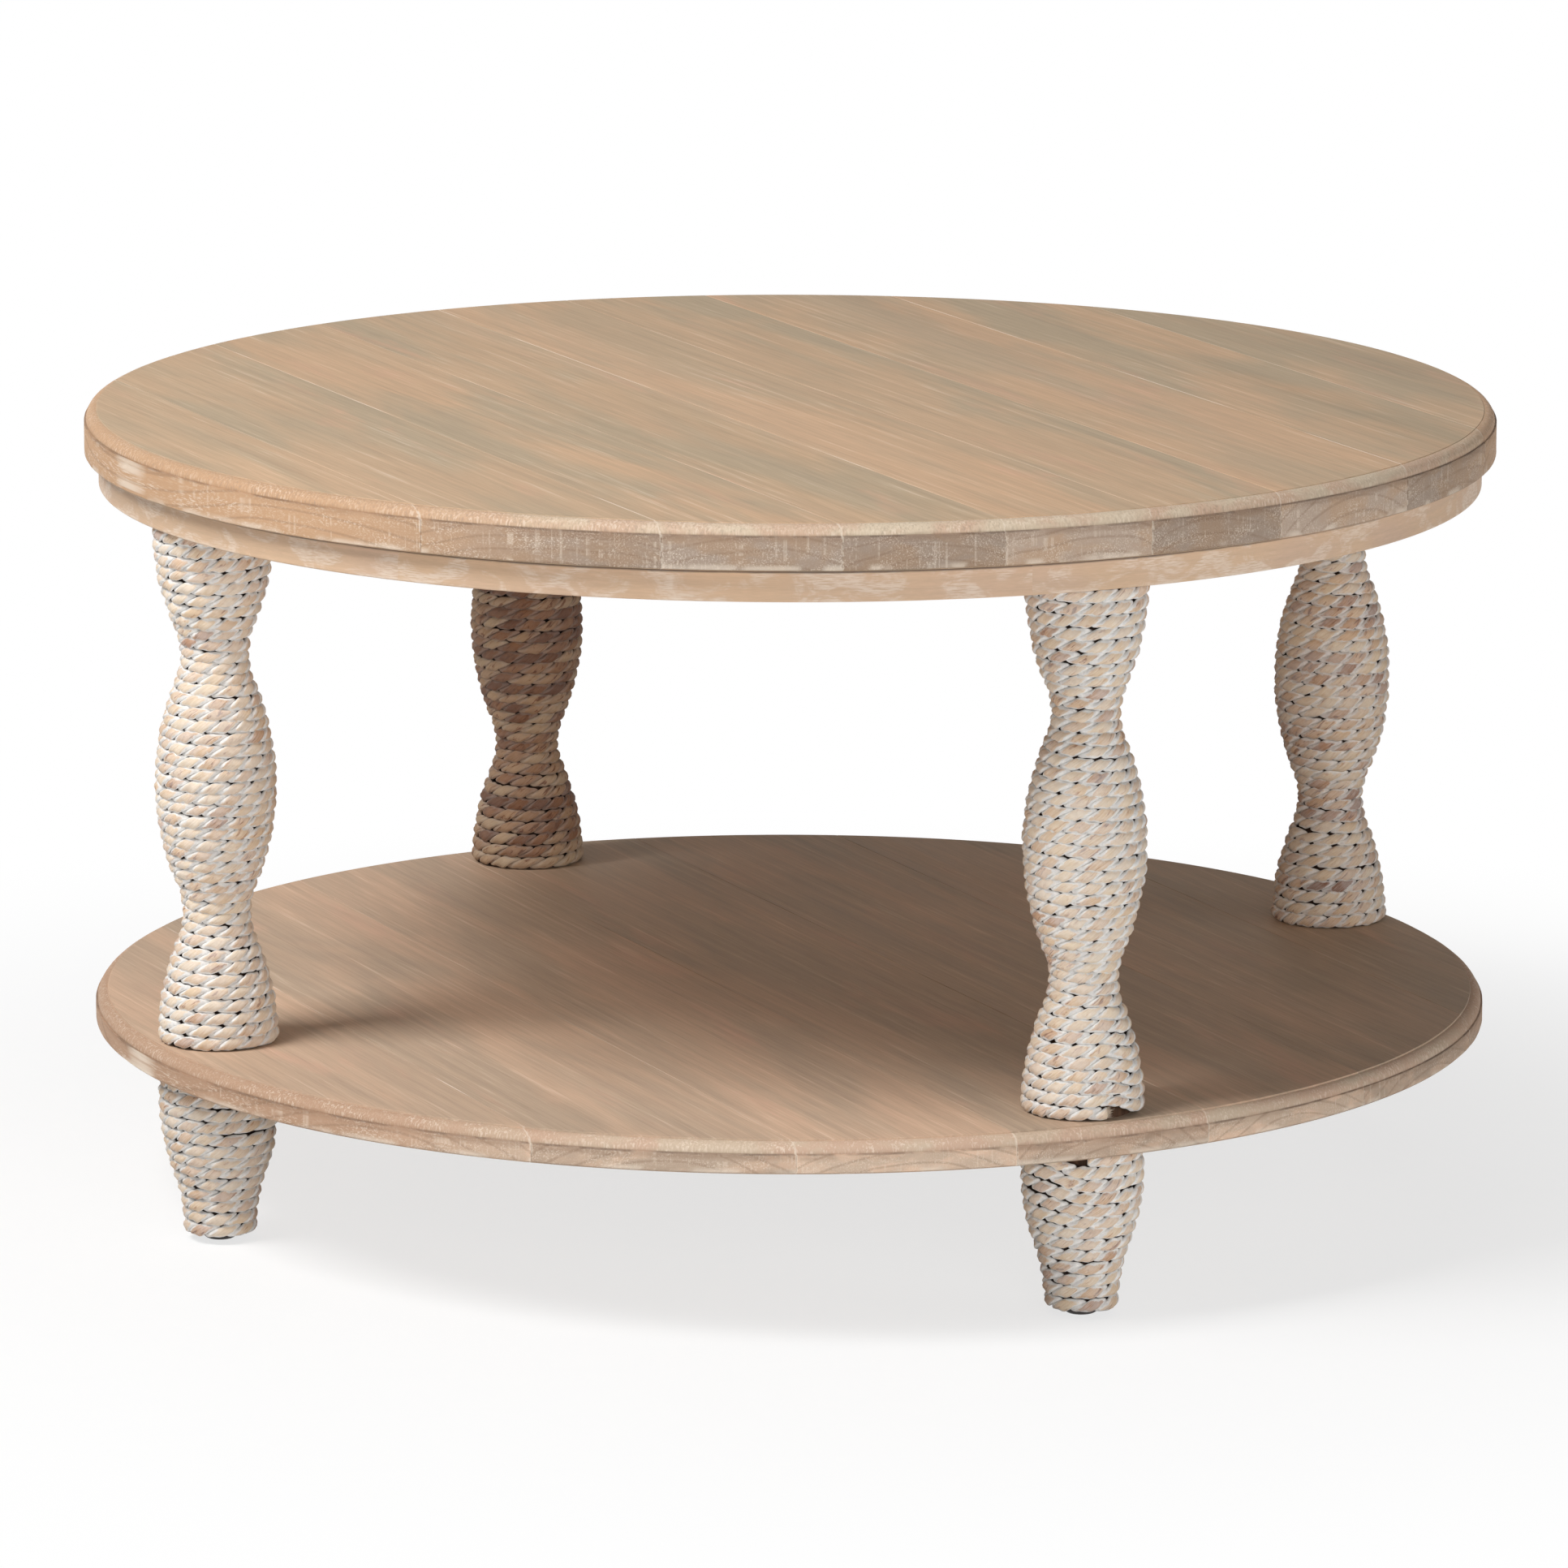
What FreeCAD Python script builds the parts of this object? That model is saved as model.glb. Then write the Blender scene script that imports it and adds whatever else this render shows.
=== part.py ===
"""Round two-tier coffee table: edge-glued wooden top and shelf on four rope-wrapped turned legs.

Millimetres, +Z up. The origin is on the floor, under the centre of the table. The four legs stand
on the diagonals, front_right being at +X -Y.
"""
import FreeCAD, Part
import math
import os
from collections import namedtuple

Vec = FreeCAD.Vector

# ---- driving dimensions: panels -------------------------------------------------------------
TOP_RADIUS = 400.0
TOP_THICKNESS = 25.0
TOP_BOARD_SHARES = (0.9, 1.15, 1.0, 1.0, 1.0, 1.0, 1.2, 1.1, 1.05)
SHELF_SETBACK = 2.5
SHELF_THICKNESS = 18.0
SHELF_BOARD_SHARES = (1.0, 1.02, 0.99, 1.0, 1.0, 1.01, 0.78)
GRAIN_ANGLE = -47.0

# moulded edge of a panel: a small step down, a quarter round, then a quirk to the full radius
EDGE_ROUND = 6.0
EDGE_QUIRK = 1.0
TOP_EDGE_STEP = 0.4
TOP_LOWER_CHAMFER = 0.8
SHELF_EDGE_STEP = 1.0
SHELF_LOWER_CHAMFER = 1.5

# ---- driving dimensions: apron ring ----------------------------------------------------------
APRON_SETBACK = 8.0
APRON_THICKNESS = 18.0
APRON_EDGE_EASE = 1.0
APRON_SEGMENTS = 7
APRON_FIRST_JOINT = -52.4
LEG_MARGIN_OUTSIDE = 2.5
LEG_MARGIN_INSIDE = 10.0

# ---- driving dimensions: legs and feet -------------------------------------------------------
LEG_LENGTH = 292.0
LEG_BULGE_RADIUS = 27.0
LEG_WAIST_RADIUS = 12.3
LEG_BULGE_SHARE = 0.765
FOOT_LENGTH = 92.0
FOOT_BULGE_DROP = 14.0
FOOT_WAIST_RADIUS = 13.5
FOOT_BULGE_SHARE = 0.53
CORNERS = {"front_right": -45.0, "back_right": 45.0, "back_left": 135.0, "front_left": -135.0}

# ---- driving dimensions: rope ----------------------------------------------------------------
ROPE_DIAMETER = 6.5
ROPE_VALLEY_SHARE = 0.62
ROPE_GAP = 0.1
ROPE_END_GAP = 0.2

# ---- driving dimensions: hardware ------------------------------------------------------------
STUD_RADIUS = 4.0
STUD_SCREW_LENGTH = 40.0
STUD_THREAD_LENGTH = 17.0
STUD_CHAMFER = 1.0
STUD_POINT_LENGTH = 6.0
INSERT_RADIUS = 6.0
INSERT_LENGTH = 15.0
FIT_GAP = 0.05
THREAD_GAP = 0.1
SHELF_HOLE_RADIUS = 4.5
DRILL_RUN_OUT = 2.0
SCREW_RADIUS = 2.0
SCREW_LENGTH = 35.0
SCREW_HEAD_RADIUS = 4.0
SCREW_HEAD_HEIGHT = 2.4
SCREW_RECESS = 0.5
SCREW_PLACES = (0.27, 0.77)
GLIDE_RADIUS = 10.0
GLIDE_HEIGHT = 4.0
GLIDE_FACE_RADIUS = 6.0
NAIL_RADIUS = 1.25
NAIL_LENGTH = 18.0
NAIL_HEAD_RADIUS = 3.0
NAIL_HEAD_HEIGHT = 1.0
NAIL_HEAD_RECESS = 1.0

# ---- levels and radii that follow ------------------------------------------------------------
FOOT_BOTTOM = GLIDE_HEIGHT
SHELF_BOTTOM = FOOT_BOTTOM + FOOT_LENGTH
SHELF_TOP = SHELF_BOTTOM + SHELF_THICKNESS
APRON_BOTTOM = SHELF_TOP + LEG_LENGTH
TOP_BOTTOM = APRON_BOTTOM + APRON_THICKNESS
TOP_TOP = TOP_BOTTOM + TOP_THICKNESS

SHELF_RADIUS = TOP_RADIUS - SHELF_SETBACK
APRON_RADIUS = TOP_RADIUS - APRON_SETBACK
LEG_OUTSIDE_RADIUS = LEG_BULGE_RADIUS + ROPE_DIAMETER
LEG_CIRCLE_RADIUS = APRON_RADIUS - LEG_MARGIN_OUTSIDE - LEG_OUTSIDE_RADIUS
APRON_INNER_RADIUS = LEG_CIRCLE_RADIUS - LEG_OUTSIDE_RADIUS - LEG_MARGIN_INSIDE

AXIS = Vec(0, 0, 1)
ORIGIN = Vec(0, 0, 0)
OVERRUN = 10.0

# one arc of a turned outline, in the plane of radius and height: side is 1 where the arc bulges
# outwards and -1 where it is hollow, and the angles are in radians about its centre
Arc = namedtuple("Arc", "centre_r centre_z radius side start sweep")


# ---- outlines --------------------------------------------------------------------------------
def line(a, b):
    return Part.LineSegment(Vec(a[0], 0, a[1]), Vec(b[0], 0, b[1])).toShape()


def arc(a, middle, b):
    points = [Vec(r, 0, z) for r, z in (a, middle, b)]
    return Part.Arc(*points).toShape()


def quarter(start, end, centre):
    """Quarter circle from start to end about centre."""
    radius = math.hypot(start[0] - centre[0], start[1] - centre[1])
    half = [(start[i] + end[i]) / 2.0 - centre[i] for i in (0, 1)]
    reach = radius / math.hypot(*half)
    return arc(start, (centre[0] + half[0] * reach, centre[1] + half[1] * reach), end)


def polyline(points):
    return [line(a, b) for a, b in zip(points, points[1:])]


def turn(edges, angle=360.0):
    """Solid made by turning a closed outline about the Z axis."""
    face = Part.Face(Part.Wire(Part.__sortEdges__(edges)))
    return face.revolve(ORIGIN, AXIS, angle)


def rod(radius, bottom, top):
    return Part.makeCylinder(radius, top - bottom, Vec(0, 0, bottom))


def place(shape, corner):
    """Copy of a shape modelled on the Z axis, moved to the leg position of a corner."""
    angle = math.radians(CORNERS[corner])
    moved = shape.copy()
    moved.rotate(ORIGIN, AXIS, CORNERS[corner])
    moved.translate(Vec(LEG_CIRCLE_RADIUS * math.cos(angle), LEG_CIRCLE_RADIUS * math.sin(angle), 0))
    return moved


def place_all(shape):
    return [place(shape, corner) for corner in CORNERS]


# ---- panels ----------------------------------------------------------------------------------
def panel(radius, bottom, top, step, chamfer):
    """Round panel with the moulded edge on its upper side and a chamfered lower corner."""
    shoulder = top - step - EDGE_ROUND
    flat_end = radius - EDGE_QUIRK - EDGE_ROUND
    edges = polyline([(0, bottom), (radius - chamfer, bottom), (radius, bottom + chamfer),
                      (radius, shoulder), (radius - EDGE_QUIRK, shoulder)])
    edges.append(quarter((radius - EDGE_QUIRK, shoulder), (flat_end, top - step), (flat_end, shoulder)))
    edges += polyline([(flat_end, top - step), (flat_end, top), (0, top), (0, bottom)])
    return turn(edges)


def boards(whole, radius, bottom, top, shares):
    """The boards of an edge-glued panel, cut from the whole panel along the grain."""
    reach = radius + OVERRUN
    scale = 2.0 * radius / sum(shares)
    start = -radius
    cut = []
    for number, share in enumerate(shares):
        end = start + share * scale
        low = -reach if number == 0 else start
        high = reach if number == len(shares) - 1 else end
        strip = Part.makeBox(2 * reach, high - low, top - bottom + 2 * OVERRUN,
                             Vec(-reach, low, bottom - OVERRUN))
        strip.rotate(ORIGIN, AXIS, GRAIN_ANGLE)
        cut.append(whole.common(strip))
        start = end
    return cut


def apron_segment(number):
    """One curved segment of the apron ring, before drilling."""
    inner, outer, ease = APRON_INNER_RADIUS, APRON_RADIUS, APRON_EDGE_EASE
    edges = polyline([(inner, APRON_BOTTOM), (outer - ease, APRON_BOTTOM)])
    edges.append(quarter((outer - ease, APRON_BOTTOM), (outer, APRON_BOTTOM + ease),
                         (outer - ease, APRON_BOTTOM + ease)))
    edges += polyline([(outer, APRON_BOTTOM + ease), (outer, TOP_BOTTOM), (inner, TOP_BOTTOM),
                       (inner, APRON_BOTTOM)])
    segment = turn(edges, 360.0 / APRON_SEGMENTS)
    segment.rotate(ORIGIN, AXIS, APRON_FIRST_JOINT + number * 360.0 / APRON_SEGMENTS)
    return segment


# ---- turned outlines of legs and feet ----------------------------------------------------------
def swell(bulge, waist, bulge_share):
    """The two tangent arcs between a bulge and the waist below or above it, as (height, radius)
    points, each arc running from the upper point to the lower one."""
    half_turn = math.atan2(abs(bulge[1] - waist[1]), abs(bulge[0] - waist[0]))
    slope = 2.0 * half_turn
    radii = abs(bulge[0] - waist[0]) / math.sin(slope)
    convex, hollow = radii * bulge_share, radii * (1.0 - bulge_share)
    if bulge[0] > waist[0]:
        return [Arc(bulge[1] - convex, bulge[0], convex, 1, 0.0, -slope),
                Arc(waist[1] + hollow, waist[0], hollow, -1, math.pi - slope, slope)]
    return [Arc(waist[1] + hollow, waist[0], hollow, -1, math.pi, slope),
            Arc(bulge[1] - convex, bulge[0], convex, 1, slope, -slope)]


def leg_outline():
    """Core outline of an upper leg, from its top to its bottom: half bulge, waist, bulge, waist,
    half bulge."""
    step = LEG_LENGTH / 4.0
    heights = [APRON_BOTTOM - step * i for i in range(5)]
    radii = [LEG_BULGE_RADIUS, LEG_WAIST_RADIUS] * 2 + [LEG_BULGE_RADIUS]
    outline = []
    for upper, lower in zip(zip(heights, radii), list(zip(heights, radii))[1:]):
        bulge, waist = (upper, lower) if upper[1] > lower[1] else (lower, upper)
        outline += swell(bulge, waist, LEG_BULGE_SHARE)
    return outline


def foot_outline():
    """Core outline of a foot: a bulge just under the shelf, tapering to a waist at the floor."""
    bulge = (SHELF_BOTTOM - FOOT_BULGE_DROP, LEG_BULGE_RADIUS)
    arcs = swell(bulge, (FOOT_BOTTOM, FOOT_WAIST_RADIUS), FOOT_BULGE_SHARE)
    lead_in = math.asin(FOOT_BULGE_DROP / arcs[0].radius)
    first = arcs[0]._replace(start=lead_in, sweep=arcs[0].sweep - lead_in)
    return [first] + arcs[1:]


def run_length(piece):
    """Length of an arc measured along the centre line of the rope that lies on it."""
    return (piece.radius + piece.side * ROPE_DIAMETER / 2.0) * abs(piece.sweep)


def point_on(piece, share, offset):
    """Point at a share of an arc, a distance outside the core."""
    angle = piece.start + share * piece.sweep
    reach = piece.radius + piece.side * offset
    return (piece.centre_r + reach * math.cos(angle), piece.centre_z + reach * math.sin(angle))


def spans(outline, start, end):
    """The arcs of an outline between two distances along it, each with the shares it covers."""
    found = []
    passed = 0.0
    for piece in outline:
        length = run_length(piece)
        low = max(0.0, (start - passed) / length)
        high = min(1.0, (end - passed) / length)
        if high - low > 1e-6:
            found.append((piece, low, high))
        passed += length
    return found


def station(outline, distance, offset):
    """Point at a distance along an outline, a distance outside the core."""
    passed = 0.0
    for piece in outline:
        length = run_length(piece)
        if distance <= passed + length + 1e-6:
            return point_on(piece, (distance - passed) / length, offset)
        passed += length
    return point_on(outline[-1], 1.0, offset)


def outline_edges(outline, start, end, offset):
    """Edges of an outline between two distances along it, a distance outside the core."""
    return [arc(point_on(piece, low, offset), point_on(piece, (low + high) / 2.0, offset),
                point_on(piece, high, offset)) for piece, low, high in spans(outline, start, end)]


def total_run(outline):
    return sum(run_length(piece) for piece in outline)


def core(outline):
    """Turned wooden core on the Z axis."""
    end = total_run(outline)
    top = point_on(outline[0], 0.0, 0.0)
    bottom = point_on(outline[-1], 1.0, 0.0)
    edges = outline_edges(outline, 0.0, end, 0.0)
    edges += polyline([bottom, (0, bottom[1]), (0, top[1]), top])
    return turn(edges)


def rope_wrap(outline):
    """Rope wound round a core as one closed sleeve, with the outer shape of its turns."""
    valley = ROPE_DIAMETER * ROPE_VALLEY_SHARE
    start = ROPE_END_GAP + ROPE_DIAMETER * math.sin(outline[0].start)
    end = total_run(outline) - ROPE_END_GAP
    turns = round((end - start) / ROPE_DIAMETER)
    pitch = (end - start) / turns
    marks = [start + pitch * i for i in range(turns + 1)]
    edges = outline_edges(outline, start, end, ROPE_GAP)
    for upper, lower in zip(marks, marks[1:]):
        edges.append(arc(station(outline, upper, valley),
                         station(outline, (upper + lower) / 2.0, ROPE_DIAMETER),
                         station(outline, lower, valley)))
    for mark in (start, end):
        edges.append(line(station(outline, mark, ROPE_GAP), station(outline, mark, valley)))
    return turn(edges)


# ---- hardware ----------------------------------------------------------------------------------
def hanger_bolt(seat, thread_length):
    """Hanger bolt: wood screw below the seat level, machine thread above it."""
    tip = seat - STUD_SCREW_LENGTH
    top = seat + thread_length
    edges = polyline([(0, tip), (STUD_RADIUS, tip + STUD_POINT_LENGTH), (STUD_RADIUS, top - STUD_CHAMFER),
                      (STUD_RADIUS - STUD_CHAMFER, top), (0, top), (0, tip)])
    return turn(edges)


def stud_hole(seat):
    """Pilot hole for the wood screw of a hanger bolt, open at the seat level."""
    return rod(STUD_RADIUS + FIT_GAP, seat - STUD_SCREW_LENGTH - FIT_GAP, seat + OVERRUN)


def insert(seat):
    """Threaded sleeve let into wood above the seat level."""
    sleeve = rod(INSERT_RADIUS, seat, seat + INSERT_LENGTH)
    return sleeve.cut(rod(STUD_RADIUS + THREAD_GAP, seat - OVERRUN, seat + INSERT_LENGTH + OVERRUN))


def insert_hole(seat):
    """Stepped hole for an insert, with run-out for the end of the bolt."""
    wide = rod(INSERT_RADIUS + FIT_GAP, seat - OVERRUN, seat + INSERT_LENGTH + FIT_GAP)
    deep = rod(SHELF_HOLE_RADIUS, seat, seat + STUD_THREAD_LENGTH + DRILL_RUN_OUT)
    return wide.fuse(deep)


def screw_body(extra):
    """Countersunk wood screw driven up through the apron, larger all round by extra."""
    head = APRON_BOTTOM + SCREW_RECESS
    neck = head + SCREW_HEAD_HEIGHT
    tip = APRON_BOTTOM + SCREW_LENGTH
    edges = polyline([(0, head - extra), (SCREW_HEAD_RADIUS + extra, head - extra),
                      (SCREW_RADIUS + extra, neck), (SCREW_RADIUS + extra, tip - SCREW_RADIUS),
                      (0, tip + extra), (0, head - extra)])
    return turn(edges)


def screw_hole():
    """Countersunk hole that the screw fills, open at the underside of the apron."""
    mouth = rod(SCREW_HEAD_RADIUS + FIT_GAP, APRON_BOTTOM - OVERRUN, APRON_BOTTOM + SCREW_RECESS)
    return screw_body(FIT_GAP).fuse(mouth)


def at_screws(shape):
    """Copies of a shape at every apron screw."""
    radius = (APRON_RADIUS + APRON_INNER_RADIUS) / 2.0
    pitch = 360.0 / APRON_SEGMENTS
    copies = []
    for number in range(APRON_SEGMENTS):
        for share in SCREW_PLACES:
            copy = shape.copy()
            copy.translate(Vec(radius, 0, 0))
            copy.rotate(ORIGIN, AXIS, APRON_FIRST_JOINT + (number + share) * pitch)
            copies.append(copy)
    return copies


def glide_nail(extra):
    """Nail that holds a glide, larger all round by extra."""
    head = NAIL_HEAD_RECESS
    neck = head + NAIL_HEAD_HEIGHT
    tip = head + NAIL_LENGTH
    edges = polyline([(0, head - extra), (NAIL_HEAD_RADIUS + extra, head - extra),
                      (NAIL_HEAD_RADIUS + extra, neck + extra), (NAIL_RADIUS + extra, neck + extra),
                      (NAIL_RADIUS + extra, tip - NAIL_RADIUS), (0, tip + extra), (0, head - extra)])
    return turn(edges)


def glide():
    """Domed plastic glide under a foot, with the nail's head sunk in its face."""
    dome = GLIDE_RADIUS - GLIDE_FACE_RADIUS
    lean = math.radians(45.0)
    middle = (GLIDE_FACE_RADIUS + dome * math.sin(lean), GLIDE_HEIGHT * (1.0 - math.cos(lean)))
    edges = [arc((GLIDE_FACE_RADIUS, 0), middle, (GLIDE_RADIUS, GLIDE_HEIGHT))]
    edges += polyline([(GLIDE_RADIUS, GLIDE_HEIGHT), (0, GLIDE_HEIGHT), (0, 0), (GLIDE_FACE_RADIUS, 0)])
    mouth = rod(NAIL_HEAD_RADIUS + FIT_GAP, -OVERRUN, NAIL_HEAD_RECESS)
    return turn(edges).cut(mouth).cut(glide_nail(FIT_GAP))


# ---- the pieces --------------------------------------------------------------------------------
def cut_all(shape, tools):
    for tool in tools:
        shape = shape.cut(tool)
    return shape


def table_top():
    whole = panel(TOP_RADIUS, TOP_BOTTOM, TOP_TOP, TOP_EDGE_STEP, TOP_LOWER_CHAMFER)
    holes = at_screws(screw_hole()) + place_all(insert_hole(APRON_BOTTOM))
    whole = cut_all(whole, holes)
    cut = boards(whole, TOP_RADIUS, TOP_BOTTOM, TOP_TOP, TOP_BOARD_SHARES)
    return {f"top_board_{i + 1}": board for i, board in enumerate(cut)}


def apron():
    holes = at_screws(screw_hole()) + place_all(insert_hole(APRON_BOTTOM))
    return {f"apron_segment_{i + 1}": cut_all(apron_segment(i), holes) for i in range(APRON_SEGMENTS)}


def shelf():
    whole = panel(SHELF_RADIUS, SHELF_BOTTOM, SHELF_TOP, SHELF_EDGE_STEP, SHELF_LOWER_CHAMFER)
    whole = cut_all(whole, place_all(rod(SHELF_HOLE_RADIUS, SHELF_BOTTOM - OVERRUN, SHELF_TOP + OVERRUN)))
    cut = boards(whole, SHELF_RADIUS, SHELF_BOTTOM, SHELF_TOP, SHELF_BOARD_SHARES)
    return {f"shelf_board_{i + 1}": board for i, board in enumerate(cut)}


def legs():
    leg = core(leg_outline()).cut(stud_hole(APRON_BOTTOM)).cut(insert_hole(SHELF_TOP))
    foot = core(foot_outline()).cut(stud_hole(SHELF_BOTTOM)).cut(glide_nail(FIT_GAP))
    pieces = {"leg_core": leg, "leg_rope": rope_wrap(leg_outline()), "foot_core": foot,
              "foot_rope": rope_wrap(foot_outline()), "foot_glide": glide()}
    return {f"{name}_{corner}": place(shape, corner)
            for name, shape in pieces.items() for corner in CORNERS}


def hardware():
    through_shelf = SHELF_THICKNESS + STUD_THREAD_LENGTH
    groups = {"top_hanger_bolts": hanger_bolt(APRON_BOTTOM, STUD_THREAD_LENGTH),
              "apron_inserts": insert(APRON_BOTTOM),
              "shelf_hanger_bolts": hanger_bolt(SHELF_BOTTOM, through_shelf),
              "leg_inserts": insert(SHELF_TOP),
              "glide_nails": glide_nail(0.0)}
    made = {name: Part.Compound(place_all(shape)) for name, shape in groups.items()}
    made["apron_screws"] = Part.Compound(at_screws(screw_body(0.0)))
    return made


def main():
    os.makedirs("parts", exist_ok=True)
    pieces = {**table_top(), **apron(), **shelf(), **legs(), **hardware()}
    for name, shape in pieces.items():
        shape.exportStep(f"parts/{name}.step")
    print(len(pieces), "nodes, height", TOP_TOP, "leg circle", round(LEG_CIRCLE_RADIUS, 2))


main()
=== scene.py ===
import math

import bmesh
import bpy
import numpy as np
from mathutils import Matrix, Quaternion, Vector, noise


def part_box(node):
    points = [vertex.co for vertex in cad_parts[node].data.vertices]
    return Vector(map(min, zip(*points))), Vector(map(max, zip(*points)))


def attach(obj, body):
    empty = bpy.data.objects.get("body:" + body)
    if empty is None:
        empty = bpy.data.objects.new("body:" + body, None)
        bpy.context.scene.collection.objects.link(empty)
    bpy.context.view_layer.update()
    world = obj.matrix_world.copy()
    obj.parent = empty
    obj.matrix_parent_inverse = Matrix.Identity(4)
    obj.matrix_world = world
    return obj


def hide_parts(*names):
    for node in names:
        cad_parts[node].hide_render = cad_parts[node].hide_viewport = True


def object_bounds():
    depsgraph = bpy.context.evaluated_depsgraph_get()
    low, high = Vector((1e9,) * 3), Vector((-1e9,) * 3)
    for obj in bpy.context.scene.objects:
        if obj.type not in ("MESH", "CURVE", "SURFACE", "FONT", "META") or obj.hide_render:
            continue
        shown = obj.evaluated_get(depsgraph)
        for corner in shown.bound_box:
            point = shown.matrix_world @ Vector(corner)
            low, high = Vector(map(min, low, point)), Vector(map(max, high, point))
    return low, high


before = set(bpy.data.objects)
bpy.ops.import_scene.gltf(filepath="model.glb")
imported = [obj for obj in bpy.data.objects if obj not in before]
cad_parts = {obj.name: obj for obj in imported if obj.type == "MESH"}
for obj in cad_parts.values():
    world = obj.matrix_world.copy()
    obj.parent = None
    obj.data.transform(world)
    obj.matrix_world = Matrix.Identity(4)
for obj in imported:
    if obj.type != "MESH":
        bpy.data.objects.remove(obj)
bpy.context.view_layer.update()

# ---------------------------------------------------------------- sizes, in metres
GRAIN = math.radians(-47)
ALONG = Vector((math.cos(GRAIN), math.sin(GRAIN), 0))
ACROSS = Vector((-math.sin(GRAIN), math.cos(GRAIN), 0))

# Panels: rounded edge, the quirk line under it, eased seams between boards, and how far the round starts below the
# face.
EDGE_ROUND = 0.006
EDGE_QUIRK = 0.001
EDGE_SEGMENTS = 720
SOFT_CORNER = 0.0003
SEAM_BEVEL = 0.00035
SEAM_GAP = 0.00004
TOP_STEP, TOP_CHAMFER = 0.0004, 0.0008
SHELF_STEP, SHELF_CHAMFER = 0.0010, 0.0015
FACE_RINGS = 0.0052  # spacing of the growth rings that cross the flat faces
END_RINGS = 0.0075  # and of those that show on the rim
RIM_WEAR, RIM_ROUGHNESS = 0.00014, 0.00006

# Rope: two strands, each a squared ellipse set off from the rope's centre line.
ROPE = 0.0065
ROPE_LAY = 0.0245
STRAND_OFFSET = 0.00150
STRAND_OUT = 0.00192
STRAND_IN = 0.00188
STRAND_HALF_WIDTH = 0.00308
STRAND_SIDES = 10
STRAND_SQUARENESS = 0.85
ROW_SPREAD = 1.075  # how far the paint and fibre of one turn reach into the next, as a share of the rope's width
RING_STEP = 0.0019
END_MARGIN = 0.56  # from a wrap's end to its last turn's centre, in rope diameters
FLAT_TURNS = 9  # turns over which the flat end turns become an even helix
JOG_START = 0.86  # share of a flat turn after which the rope steps over itself
ROW_SPACING = 1.002  # least distance between turns, in rope diameters
STEPS_PER_TURN = 400
STEADY_LENGTH = 0.12  # at each end, the length over which the turns settle into place
# How far each strays, and over what length of rope: a turn up and down the leg (slowly and quickly), a turn outwards,
# the twist in radians, and a strand's width and depth as shares.
ROW_STRAYS = (0.00042, 0.030), (0.00040, 0.010)
OUTWARD_STRAY = 0.00022, 0.013
TWIST_STRAY = 1.0, 0.042
WIDTH_STRAY = 0.16, 0.0065
DEPTH_STRAY = 0.14, 0.008
HAIRS_PER_METRE, FRAYED_HAIRS = 22, 130

LEGS = ("front_right", "back_right", "back_left", "front_left")
# For each leg: where its lowest turn starts (polar angle), how thick the whitewash lies, how brown the fibre is, how
# strong its stained turns are, how much of a turn its end leaves out, and the painted shade of leg and foot: a factor
# on the rope's colour that darkens it where shade falls under the top and shelf.
LEG_LOOKS = {
    "front_right": {"start": -49.5, "paint": 1.00, "brown": 0.28, "brown_band": 0.12, "offset": 0.5, "painted_shade": (0.91, 0.95)},
    "front_left": {"start": 112.0, "paint": 1.00, "brown": 0.25, "brown_band": 0.10, "offset": 0.0, "painted_shade": (0.94, 0.82)},
    "back_right": {"start": 70.0, "paint": 0.80, "brown": 0.52, "brown_band": 0.34, "offset": 0.0, "painted_shade": (0.97, 0.92)},
    "back_left": {"start": 140.0, "paint": 0.26, "brown": 1.14, "brown_band": 0.26, "offset": 0.0, "painted_shade": (0.66, 0.78)},
}
FOOT_START, FOOT_BROWN = 112.0, 0.12


# ---------------------------------------------------------------- shader helpers
def colour(r, g, b):
    """An 8-bit display colour as the linear values that shaders take."""
    def linear(c):
        c /= 255.0
        return c / 12.92 if c <= 0.04045 else ((c + 0.055) / 1.055) ** 2.4
    return (linear(r), linear(g), linear(b), 1.0)


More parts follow.
